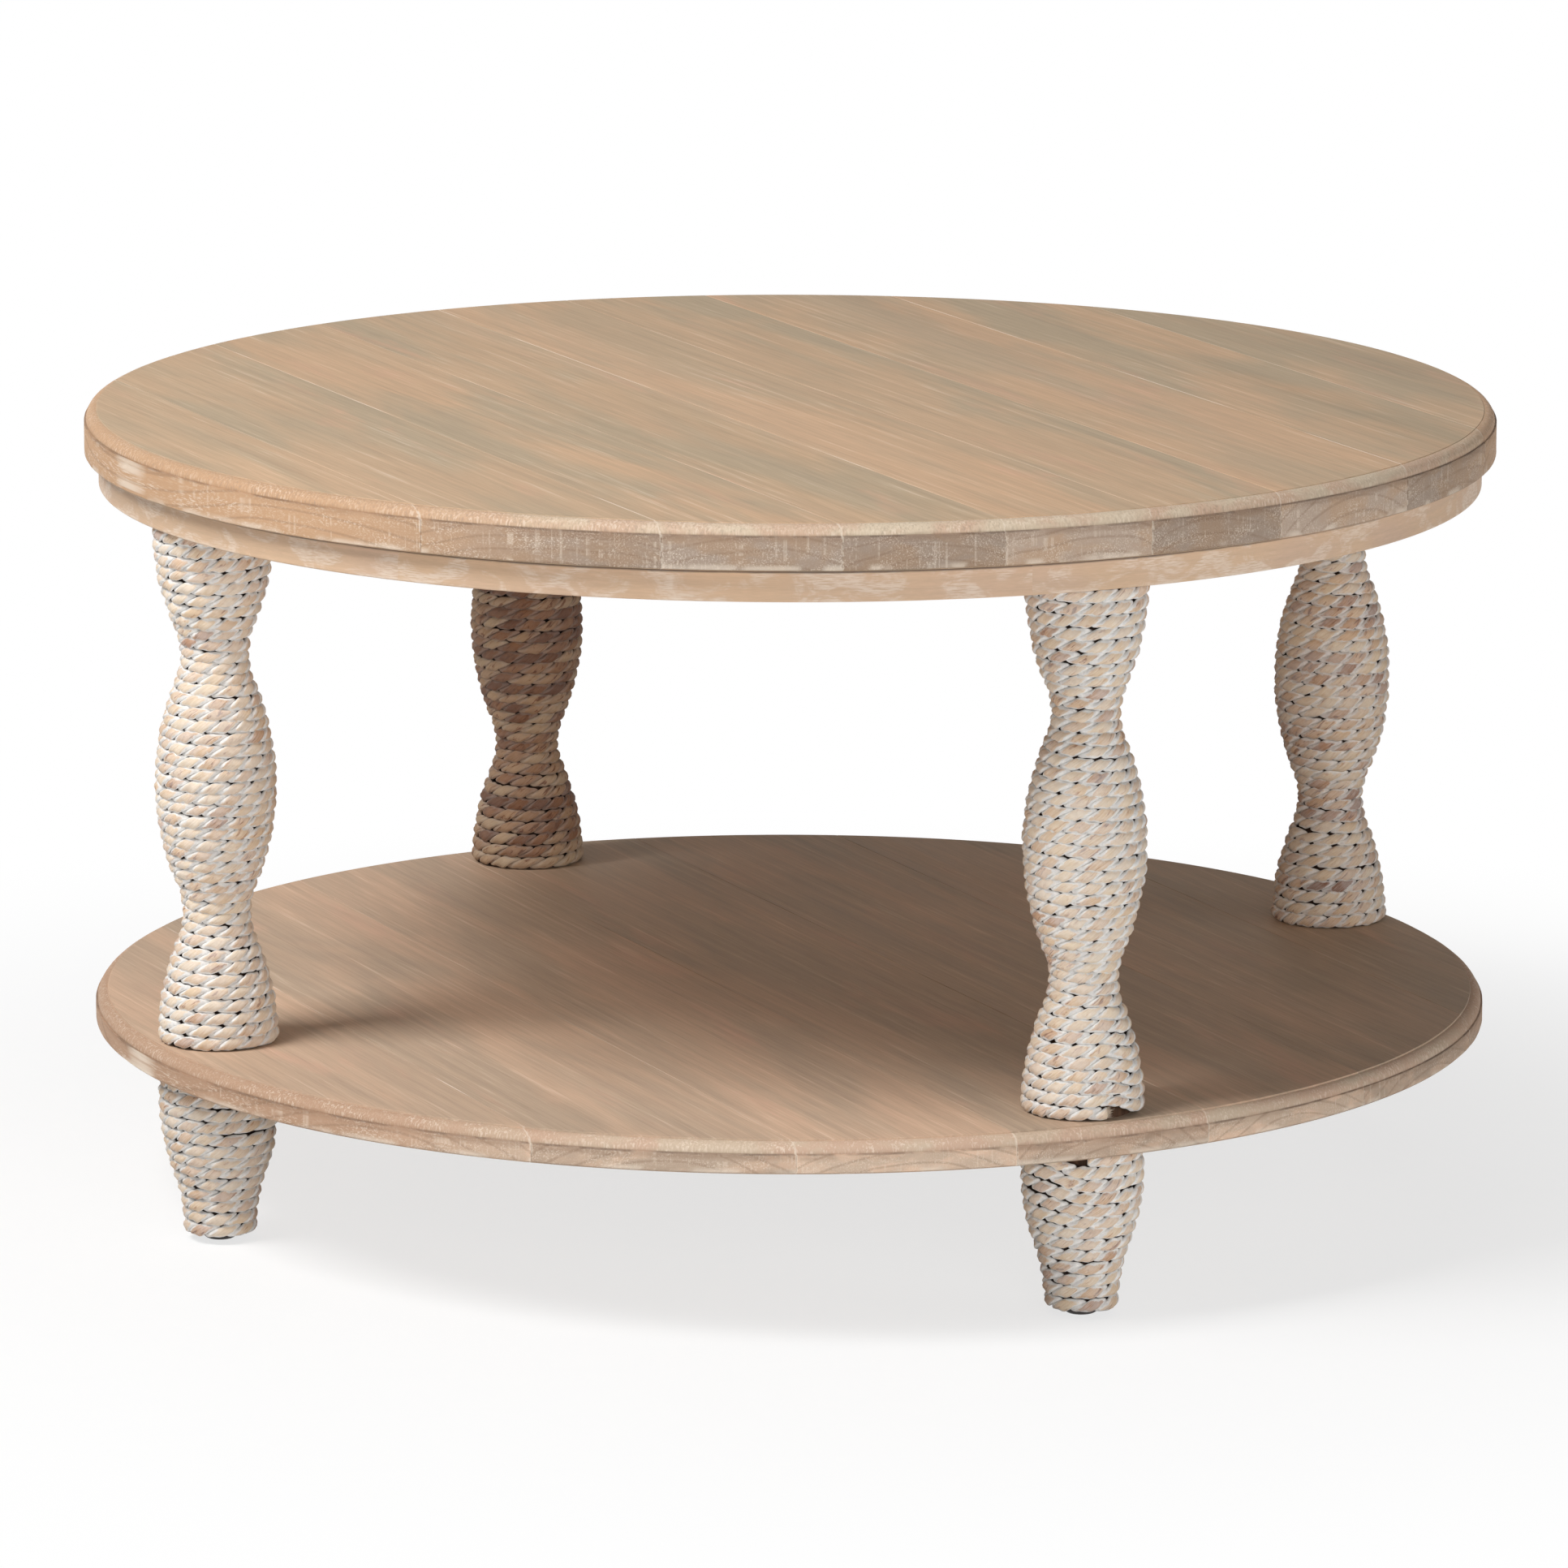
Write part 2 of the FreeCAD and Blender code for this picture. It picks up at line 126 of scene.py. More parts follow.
class Shader:
    """One material and short names for the nodes it is made of."""

    def __init__(self, name):
        self.material = bpy.data.materials.new(name)
        self.material.use_nodes = True
        self.tree = self.material.node_tree
        self.tree.nodes.clear()
        self.place = self.add("ShaderNodeTexCoord").outputs["Object"]

    def add(self, kind, **settings):
        node = self.tree.nodes.new(kind)
        for key, value in settings.items():
            setattr(node, key, value)
        return node

    def put(self, socket, value):
        if isinstance(value, bpy.types.NodeSocket):
            self.tree.links.new(value, socket)
        elif value is not None:
            socket.default_value = value

    def math(self, operation, a, b=None, c=None, clamp=False):
        node = self.add("ShaderNodeMath", operation=operation, use_clamp=clamp)
        for socket, value in zip(node.inputs, (a, b, c)):
            self.put(socket, value)
        return node.outputs[0]

    def vector(self, operation, a, b=None):
        node = self.add("ShaderNodeVectorMath", operation=operation)
        self.put(node.inputs[0], a)
        self.put(node.inputs[1], b)
        return node.outputs["Value" if operation in ("DOT_PRODUCT", "LENGTH") else "Vector"]

    def split(self, vector):
        node = self.add("ShaderNodeSeparateXYZ")
        self.put(node.inputs[0], vector)
        return node.outputs

    def join(self, x, y, z):
        node = self.add("ShaderNodeCombineXYZ")
        for socket, value in zip(node.inputs, (x, y, z)):
            self.put(socket, value)
        return node.outputs[0]

    def noise(self, vector, stretch, detail=2.0, rough=0.5, warp=0.0, shift=(0, 0, 0)):
        """Noise whose features are 1 / stretch metres long on each axis."""
        spot = self.vector("ADD", self.vector("MULTIPLY", vector, stretch), shift)
        node = self.add("ShaderNodeTexNoise")
        self.put(node.inputs["Vector"], spot)
        node.inputs["Scale"].default_value = 1.0
        node.inputs["Detail"].default_value = detail
        node.inputs["Roughness"].default_value = rough
        node.inputs["Distortion"].default_value = warp
        return node.outputs["Fac"]

    def step(self, value, low, high, a=0.0, b=1.0):
        """Runs smoothly from a at low to b at high."""
        node = self.add("ShaderNodeMapRange", interpolation_type="SMOOTHSTEP")
        for name, v in (("Value", value), ("From Min", low), ("From Max", high), ("To Min", a), ("To Max", b)):
            self.put(node.inputs[name], v)
        return node.outputs[0]

    def line(self, value, centre, half_width):
        """1 on a line, 0 away from it."""
        away = self.math("ABSOLUTE", self.math("SUBTRACT", value, centre))
        return self.step(away, 0.0, half_width, 1.0, 0.0)

    def mix(self, share, a, b, blend="MIX"):
        node = self.add("ShaderNodeMix", data_type="RGBA", blend_type=blend)
        self.put(node.inputs[0], share)
        self.put(node.inputs[6], a)
        self.put(node.inputs[7], b)
        return node.outputs[2]

    def ramp(self, value, stops):
        node = self.add("ShaderNodeValToRGB")
        bar = node.color_ramp
        while len(bar.elements) < len(stops):
            bar.elements.new(0.5)
        for element, (at, tint) in zip(bar.elements, stops):
            element.position = at
            element.color = tint
        self.put(node.inputs[0], value)
        return node.outputs[0]

    def scaled(self, tint, factor):
        """A colour made brighter or darker by a number."""
        node = self.add("ShaderNodeVectorMath", operation="SCALE")
        self.put(node.inputs[0], tint)
        self.put(node.inputs["Scale"], factor)
        return node.outputs["Vector"]

    def both(self, *values):
        out = values[0]
        for v in values[1:]:
            out = self.math("MULTIPLY", out, v)
        return out

    def swing(self, value, amount):
        """Noise around 0.5 turned into a factor around 1."""
        return self.math("MULTIPLY_ADD", value, 2.0 * amount, 1.0 - amount)

    def finish(self, tint, roughness, height=None, depth=0.0003, strength=0.5, **fixed):
        shader = self.add("ShaderNodeBsdfPrincipled")
        self.put(shader.inputs["Base Color"], tint)
        self.put(shader.inputs["Roughness"], roughness)
        for name, value in fixed.items():
            shader.inputs[name.replace("_", " ")].default_value = value
        if height is not None:
            bump = self.add("ShaderNodeBump")
            bump.inputs["Strength"].default_value = strength
            bump.inputs["Distance"].default_value = depth
            self.put(bump.inputs["Height"], height)
            self.tree.links.new(bump.outputs[0], shader.inputs["Normal"])
        out = self.add("ShaderNodeOutputMaterial")
        self.tree.links.new(shader.outputs[0], out.inputs[0])
        return self.material


# ---------------------------------------------------------------- wood
def limed_board(name, seed, look, low, high, bottom, top, radius, step):
    """Limed hardwood for one board that runs from low to high across the grain."""
    s = Shader(name)
    at = s.split(s.place)
    z = at[2]
    u = s.vector("DOT_PRODUCT", s.place, ALONG)
    v = s.vector("DOT_PRODUCT", s.place, ACROSS)
    shift = (seed * 1.37, seed * 2.11, seed * 0.73)
    wood = s.join(u, v, z)
    reach = s.vector("LENGTH", s.join(at[0], at[1], 0.0))

    # Flat face: pinkish tan with greenish grey smudges along the grain, fine fibres and lime in the pores.
    smudge = s.noise(wood, (3.2, 16, 16), 3.0, 0.55, 0.6, shift)
    cloud = s.noise(wood, (5.0, 24, 24), 4.0, 0.6, 0.4, (shift[1], shift[2], shift[0]))
    streak = s.noise(wood, (5.0, 210, 210), 5.0, 0.66, 0.3, shift)
    fibre = s.noise(wood, (22, 900, 900), 2.0, 0.6, 0.0, shift)
    pores = s.noise(wood, (34, 1500, 1500), 1.0, 0.5, 0.0, shift)
    base = s.mix(s.step(smudge, 0.38, 0.62), look["tan"], look["grey"])
    base = s.mix(s.both(s.step(cloud, 0.56, 0.74), 0.55), base, look["pink"])
    sway = s.noise(wood, (2.4, 9, 9), 2.0, 0.5, 0.0, shift)
    heart_v = 0.5 * (low + high) + 0.02 * math.sin(seed * 5.1)
    heart_z = bottom - 0.05 - 0.04 * abs(math.sin(seed * 2.3))
    ring = s.vector("LENGTH", s.join(0.0, s.math("SUBTRACT", v, heart_v), s.math("SUBTRACT", z, heart_z)))
    ring = s.math("MULTIPLY_ADD", sway, 0.028, ring)
    waves = s.math("SINE", s.math("MULTIPLY", ring, 2 * math.pi / FACE_RINGS))
    flat = s.scaled(base, s.swing(streak, 0.30))
    flat = s.scaled(flat, s.swing(fibre, 0.13))
    flat = s.scaled(flat, s.math("MULTIPLY_ADD", waves, 0.018, 1.0))
    limed = s.both(s.step(streak, 0.54, 0.70), s.step(fibre, 0.42, 0.62), look["lime"])
    flat = s.mix(limed, flat, look["white"])
    flat = s.mix(s.both(s.step(pores, 0.60, 0.72), 0.16), flat, look["brown"])

    # Glue lines: a thin pale line of lime at some joints.
    broken = s.step(s.noise(wood, (9, 1, 1), 2.0, 0.5, 0.0, (seed, 3.0, 1.0)), 0.47, 0.60)
    joint = s.math("MAXIMUM", s.line(v, low, 0.0009), s.line(v, high, 0.0009))
    shown = 0.7 if math.sin(seed * 2.4) > 0.35 else 0.18
    flat = s.mix(s.both(joint, broken, shown), flat, look["white"])

    # Moulded edge: end grain at the boards' ends, with specks and upright strokes of lime, a lighter band on the
    # round, a wandering brown band and a dark line of painted shade in the quirk under it, and a dark line of painted
    # shade where the panel ends below, standing in for the shade just under the panel's edge.
    shoulder = top - step - EDGE_ROUND
    patch = s.noise(wood, (26, 26, 55), 3.0, 0.55, 0.5, (shift[2], shift[0], shift[1]))
    edge = s.mix(s.step(patch, 0.40, 0.62), look["end"], look["end_tan"])
    sideways = s.math("ABSOLUTE", s.math("DIVIDE", v, radius))
    edge = s.mix(s.step(sideways, 0.62, 0.93), edge, look["side"])
    arcs = s.step(s.math("SINE", s.math("MULTIPLY", ring, 2 * math.pi / END_RINGS)), 0.72, 1.0)
    edge = s.mix(s.both(arcs, 0.30), edge, look["brown"])
    specks = s.noise(wood, (75, 1250, 1250), 2.0, 0.7, 0.0, shift)
    crowd = s.noise(wood, (18, 60, 110), 3.0, 0.6, 0.0, (shift[1], shift[0], shift[2]))
    speckled = s.both(s.step(specks, 0.50, 0.64), s.step(crowd, 0.36, 0.66, 0.15, 1.0), 0.52)
    edge = s.mix(speckled, edge, look["white"])
    checks = s.line(s.noise(s.join(v, 0.0, 0.0), (165, 0, 0), 1.0, 0.5, 0.0, shift), 0.5, 0.026)
    checks = s.both(checks, s.step(s.noise(wood, (1, 40, 260), 2.0, 0.6, 0.0, shift), 0.44, 0.58))
    edge = s.mix(s.both(checks, 0.30), edge, look["white"])
    worn = s.both(s.step(z, bottom + 0.0045, bottom + 0.0015),
                  s.step(s.noise(wood, (20, 45, 45), 2.0, 0.6, 0.0, shift), 0.48, 0.60))
    edge = s.mix(s.both(worn, 0.5), edge, look["white"])
    strokes = s.noise(s.place, (820, 820, 130), 2.0, 0.6, 0.4, shift)
    band = s.mix(s.step(patch, 0.36, 0.60), look["band"], look["band_pink"])
    band = s.mix(s.step(sideways, 0.55, 0.92), band, look["side"])
    limed = s.both(s.step(strokes, 0.50, 0.64), s.step(crowd, 0.34, 0.66, 0.25, 1.0), 0.50)
    band = s.mix(limed, band, look["white"])
    band = s.mix(s.both(s.step(strokes, 0.47, 0.33), 0.40), band, look["end"])
    edge = s.mix(s.step(z, shoulder - 0.0003, shoulder + 0.0007), edge, band)
    # A wandering brown band just under the round.
    drift = s.math("MULTIPLY_ADD", s.math("SUBTRACT", crowd, 0.5), 0.0050, z)
    brown_band = s.both(s.line(drift, shoulder - 0.0014, 0.0030), s.step(smudge, 0.36, 0.56, 0.2, 1.0), 0.42)
    edge = s.mix(brown_band, edge, look["brown"])
    # Painted shade: a dark line in the quirk under the round.
    quirk_shade = s.both(s.line(z, shoulder - 0.0001, 0.0009), s.step(crowd, 0.40, 0.58, 0.15, 1.0))
    edge = s.mix(s.both(quirk_shade, 0.55), edge, look["dark"])
    # Painted shade: a dark line along the rim's bottom edge, standing in for the shade just below the panel.
    under = s.both(s.line(z, bottom + 0.0001, 0.0009), s.step(patch, 0.34, 0.50, 0.25, 1.0))
    edge = s.mix(s.both(under, 0.85), edge, look["dark"])
    edge = s.mix(s.both(joint, s.step(s.noise(wood, (1, 1, 300), 1.0, 0.5, 0.0, shift), 0.40, 0.55), 0.7),
                 edge, look["white"])

    flat_end = radius - EDGE_ROUND - EDGE_QUIRK
    on_edge = s.step(reach, flat_end - 0.0004, flat_end + 0.0006)
    underneath = s.step(z, bottom + 0.0006, bottom + 0.0002)
    on_edge = s.math("MULTIPLY", on_edge, s.math("SUBTRACT", 1.0, s.both(underneath, 0.8)))
    tint = s.mix(on_edge, flat, edge)
    rough = s.math("MULTIPLY_ADD", streak, 0.22, 0.58)
    height = s.math("ADD", s.math("MULTIPLY", fibre, 0.55), s.math("MULTIPLY", streak, 0.6))
    height = s.math("ADD", height, s.both(specks, on_edge, 0.8))
    return s.finish(tint, rough, height, 0.00022, 0.55, Specular_IOR_Level=0.18)


def apron_wood(node, seed, warmth):
    """Smoother wood under the top, with patches of lime brushed thin, and shade where it meets the top."""
    s = Shader(node + "_limed")
    bottom, top = (corner.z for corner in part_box(node))
    at = s.split(s.place)
    shift = (seed * 0.91, seed * 1.73, seed * 0.37)
    along = s.noise(s.place, (12, 12, 420), 3.0, 0.6, 0.3, shift)
    fine = s.noise(s.place, (160, 160, 1500), 2.0, 0.6, 0.0, shift)
    patch = s.noise(s.place, (34, 34, 62), 4.0, 0.6, 0.8, shift)
    cloud = s.noise(s.place, (9, 9, 22), 2.0, 0.5, 0.3, shift)
    base = s.mix(s.step(cloud, 0.36, 0.64), colour(202, 172, 143), colour(196, 168, 146))
    base = s.mix(warmth, base, colour(206, 172, 140))
    base = s.scaled(base, s.swing(along, 0.14))
    base = s.scaled(base, s.swing(fine, 0.10))
    lime = s.both(s.step(patch, 0.46, 0.60), s.step(fine, 0.36, 0.60, 0.15, 1.0), 0.66)
    side = s.step(at[2], bottom + 0.0001, bottom + 0.0006, 0.12, 1.0)
    tint = s.mix(s.both(lime, side), base, colour(224, 208, 192))
    lower = s.both(s.step(at[2], bottom + 0.0025, bottom + 0.0003), s.step(patch, 0.44, 0.56), side, 0.35)
    tint = s.mix(lower, tint, colour(226, 210, 194))
    shade = s.step(s.math("MULTIPLY_ADD", patch, 0.0012, at[2]), top - 0.0024, top - 0.0010)
    tint = s.mix(s.both(shade, 0.85), tint, colour(58, 42, 32))
    height = s.math("ADD", s.math("MULTIPLY", along, 0.5), s.math("MULTIPLY", fine, 0.4))
    return s.finish(tint, s.math("MULTIPLY_ADD", along, 0.2, 0.48), height, 0.00018, 0.5, Specular_IOR_Level=0.34)


# dark is the colour of the painted shade lines on the rim, in the quirk and along the bottom edge.
TOP_LOOK = {
    "tan": colour(204, 170, 138), "grey": colour(181, 161, 135), "pink": colour(209, 168, 140),
    "white": colour(231, 217, 200), "brown": colour(128, 100, 78), "dark": colour(82, 62, 48),
    "end": colour(168, 149, 133), "end_tan": colour(170, 144, 121), "side": colour(192, 155, 122),
    "band": colour(206, 188, 164), "band_pink": colour(200, 170, 146), "lime": 0.34,
}
SHELF_LOOK = dict(TOP_LOOK, tan=colour(201, 171, 146), grey=colour(178, 157, 136), pink=colour(205, 167, 144),
                  end=colour(186, 164, 144), end_tan=colour(210, 180, 156), side=colour(175, 142, 117),
                  band=colour(196, 176, 154), band_pink=colour(194, 164, 142), lime=0.30)


def toned(look, tone):
    """A look with its face colours moved towards grey (tone below 0) or towards tan (above 0)."""
    made = dict(look)
    towards = look["grey"] if tone < 0 else look["tan"]
    for key in ("tan", "grey"):
        made[key] = tuple(a + (b - a) * abs(tone) for a, b in zip(look[key], towards))
    light = 1.0 + 0.05 * math.sin(tone * 9.0)
    for key in ("end", "end_tan"):
        made[key] = tuple(min(1.0, c * (1.0 + 0.45 * tone) * light) for c in look[key][:3]) + (1.0,)
    return made


# ---------------------------------------------------------------- boards
def vertices(node):
    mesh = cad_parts[node].data
    co = np.empty(len(mesh.vertices) * 3)
    mesh.vertices.foreach_get("co", co)
    return co.reshape(-1, 3)


def panel_outline(radius, bottom, top, step, chamfer):
    """Half section of a round panel, from the underside's rim up and in to the flat face."""
    shoulder = top - step - EDGE_ROUND
    flat_end = radius - EDGE_QUIRK - EDGE_ROUND
    soft = SOFT_CORNER
    points = [(radius - chamfer - soft, bottom), (radius - chamfer, bottom + 0.0001),
              (radius - 0.0001, bottom + chamfer - 0.0002), (radius, bottom + chamfer + 0.0002),
              (radius, bottom + (shoulder - bottom) * 0.35), (radius, bottom + (shoulder - bottom) * 0.7),
              (radius, shoulder - soft), (radius - soft * 0.3, shoulder - soft * 0.3), (radius - soft, shoulder),
              (radius - EDGE_QUIRK, shoulder + 0.00005)]
    for k in range(1, 9):
        a = math.pi / 2 * k / 8
        points.append((flat_end + EDGE_ROUND * math.cos(a), shoulder + EDGE_ROUND * math.sin(a)))
    points += [(flat_end - 0.0001, top - 0.0001), (flat_end - 0.0004, top)]
    return points


def cut(bm, point, normal):
    """Takes off what lies beyond a plane and closes the cut."""
    geometry = bm.verts[:] + bm.edges[:] + bm.faces[:]
    bmesh.ops.bisect_plane(bm, geom=geometry, dist=1e-7, plane_co=point, plane_no=normal, clear_outer=True)
    bmesh.ops.holes_fill(bm, edges=[e for e in bm.edges if e.is_boundary], sides=0)


def to_object(name, bm, crease=0.45):
    """Makes an object of a bmesh, shaded smooth except across edges sharper than crease."""
    bmesh.ops.recalc_face_normals(bm, faces=bm.faces[:])
    for face in bm.faces:
        face.smooth = True
    for edge in bm.edges:
        if len(edge.link_faces) == 2 and edge.calc_face_angle(0.0) > crease:
            edge.smooth = False
    mesh = bpy.data.meshes.new(name)
    bm.to_mesh(mesh)
    bm.free()
    obj = bpy.data.objects.new(name, mesh)
    bpy.context.scene.collection.objects.link(obj)
    return obj


def board(node, radius, bottom, top, step, chamfer, seed):
    """One edge-glued board of a round panel, with its share of the moulded rim."""
    spread = vertices(node) @ np.array(ACROSS)
    low, high = float(spread.min()), float(spread.max())
    bm = bmesh.new()
    rings = []
    for k in range(EDGE_SEGMENTS):
        a = 2 * math.pi * k / EDGE_SEGMENTS
        ca, sa = math.cos(a), math.sin(a)
        ring = []
        for r, z in panel_outline(radius, bottom, top, step, chamfer):
            on_face = z > top - 0.00005 or z < bottom + 0.00005
            wear = noise.noise(Vector((r * ca * 55, r * sa * 55, z * 160 + seed)))
            fine = noise.noise(Vector((r * ca * 260, r * sa * 260, z * 420 + seed)))
            if not on_face:
                r = r - 0.00016 + RIM_WEAR * wear + RIM_ROUGHNESS * fine
            ring.append(bm.verts.new((r * ca, r * sa, z)))
        rings.append(ring)
    for k in range(EDGE_SEGMENTS):
        a, b = rings[k], rings[(k + 1) % EDGE_SEGMENTS]
        for i in range(len(a) - 1):
            bm.faces.new((a[i], b[i], b[i + 1], a[i + 1]))
    bm.faces.new([ring[-1] for ring in rings])
    bm.faces.new([ring[0] for ring in reversed(rings)])
    for side, at in ((1, high), (-1, low)):
        if abs(at) > radius - 0.0005:
            continue
        normal = ACROSS * side
        cut(bm, ACROSS * (at - side * SEAM_GAP), normal)
        corner = ACROSS * (at - side * SEAM_BEVEL) + Vector((0, 0, top))
        cut(bm, corner, (normal + Vector((0, 0, 1))).normalized())
        half = math.sqrt(radius ** 2 - at ** 2)
        for end in (1, -1):
            tip = ALONG * half * end + ACROSS * at
            bevel = (normal + tip.normalized()).normalized()
            cut(bm, tip - bevel * SEAM_BEVEL * 0.9, bevel)
    return to_object(node + "_wood", bm), low, high


def panel(kind, step, chamfer, look, tones, first_seed):
    """A round panel of as many boards as there are tones, in place of the CAD's boards."""
    nodes = [f"{kind}_{n}" for n in range(1, len(tones) + 1)]
    bottom, top = (corner.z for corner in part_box(nodes[0]))
    radius = max(float(np.hypot(*vertices(node)[:, :2].T).max()) for node in nodes)
    for n, tone in enumerate(tones, 1):
        seed = n * 3.7 + first_seed
        obj, low, high = board(f"{kind}_{n}", radius, bottom, top, step, chamfer, seed)
        wood = limed_board(f"{kind}_{n}_limed", seed, toned(look, tone), low, high, bottom, top, radius, step)
        obj.data.materials.append(wood)
        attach(obj, "root")
        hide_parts(f"{kind}_{n}")


panel("top_board", TOP_STEP, TOP_CHAMFER, TOP_LOOK, (-0.25, -0.35, -0.1, -0.3, 0.35, -0.3, 0.3, -0.15, -0.3),
      0.0)
panel("shelf_board", SHELF_STEP, SHELF_CHAMFER, SHELF_LOOK, (0.25, -0.1, 0.2, -0.35, 0.1, -0.25, -0.4),
      40.0)


# ---------------------------------------------------------------- rope
def stray(rng, s, amount, wave):
    """Smooth random values within amount of zero, at lengths s along a rope, which change over wave metres."""
    count = max(4, int(s[-1] / wave) + 4)
    knots = rng.uniform(-1, 1, count)
    x = np.linspace(0, count - 3.001, len(s))
    i = x.astype(int)
    t = x - i
    t = t * t * (3 - 2 * t)
    return amount * (knots[i] * (1 - t) + knots[i + 1] * t)


def centre_line(core, rope):
    """The rope's centre line over a turned core, as radius, height, outward normal and upward tangent by run."""
    low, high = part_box(core)
    rope_low, rope_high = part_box(rope)
    axis = Vector(((low.x + high.x) / 2, (low.y + high.y) / 2))
    co = vertices(core)
    r = np.hypot(co[:, 0] - axis.x, co[:, 1] - axis.y)
    keep = r > 0.009
    r, z = r[keep], co[keep, 2]
    levels = np.unique(np.round(z, 5))
    outer = np.array([r[np.abs(z - level) < 2e-5].max() for level in levels])
    zs = np.arange(low.z, high.z, 0.0004)
    rs = np.interp(zs, levels, outer)
    kernel = np.hanning(19)
    padded = np.concatenate([np.full(9, rs[0]), rs, np.full(9, rs[-1])])
    rs = np.convolve(padded, kernel / kernel.sum(), "valid")
    slope = np.gradient(rs, zs)
    length = np.sqrt(1 + slope ** 2)
    tr, tz = slope / length, 1 / length
    nr, nz = tz, -tr
    cr, cz = rs + nr * ROPE / 2, zs + nz * ROPE / 2
    inside = (cz > rope_low.z + ROPE * END_MARGIN) & (cz < rope_high.z - ROPE * END_MARGIN)
    cr, cz, nr, nz, tr, tz = (x[inside] for x in (cr, cz, nr, nz, tr, tz))
    run = np.concatenate([[0.0], np.cumsum(np.hypot(np.diff(cr), np.diff(cz)))])
    return axis, run, cr, cz, nr, nz, tr, tz


def climb(winding, reach):
    """How many turns up the rope is. At its end it lies flat and steps over itself, then eases into an even helix."""
    whole = np.floor(winding)
    part = winding - whole
    jog = np.clip((part - JOG_START) / (1 - JOG_START), 0, 1)
    jog = jog * jog * (3 - 2 * jog)
    share = np.clip(1.0 - whole / reach, 0.0, 1.0)
    return whole + part + (jog - part) * share


def wind(rng, core, rope, look):
    """The rope wound round its core, ring by ring: length along it, centre, outward and upward directions."""
    axis, run, cr, cz, nr, nz, tr, tz = centre_line(core, rope)
    total = run[-1]
    turns = math.floor(total / (ROPE * ROW_SPACING)) - look["offset"]
    pitch = total / turns
    winding = np.linspace(0, turns, int(turns * STEPS_PER_TURN))
    half = turns / 2
    reach = min(FLAT_TURNS, int(half) - 1)
    at = np.where(winding < half, climb(winding, reach), turns - climb(turns - winding, reach)) * pitch
    at = np.maximum.accumulate(np.clip(at, 0, total))
    tau = winding * 2 * math.pi
    length = np.concatenate([[0.0], np.cumsum(np.interp((at[1:] + at[:-1]) / 2, run, cr) * np.diff(tau))])
    rings = int(length[-1] / RING_STEP)
    s = np.linspace(0, length[-1], rings)
    tau = np.interp(s, length, tau)
    at = np.interp(s, length, at)
    steady = np.clip(np.minimum(s, s[-1] - s) / STEADY_LENGTH, 0, 1)
    slow, quick = (stray(rng, s, *row) for row in ROW_STRAYS)
    at = np.clip(at + steady * (slow + quick), 0, total)
    theta = math.radians(look["start"]) - tau
    ct, st = np.cos(theta), np.sin(theta)
    cr, cz, nr, nz, tr, tz = (np.interp(at, run, x) for x in (cr, cz, nr, nz, tr, tz))
    cr = cr + stray(rng, s, *OUTWARD_STRAY)
    centre = np.stack([axis.x + cr * ct, axis.y + cr * st, cz], 1)
    out = np.stack([nr * ct, nr * st, nz], 1)
    up = np.stack([tr * ct, tr * st, tz], 1) * ROW_SPREAD
    return s, centre, out, up


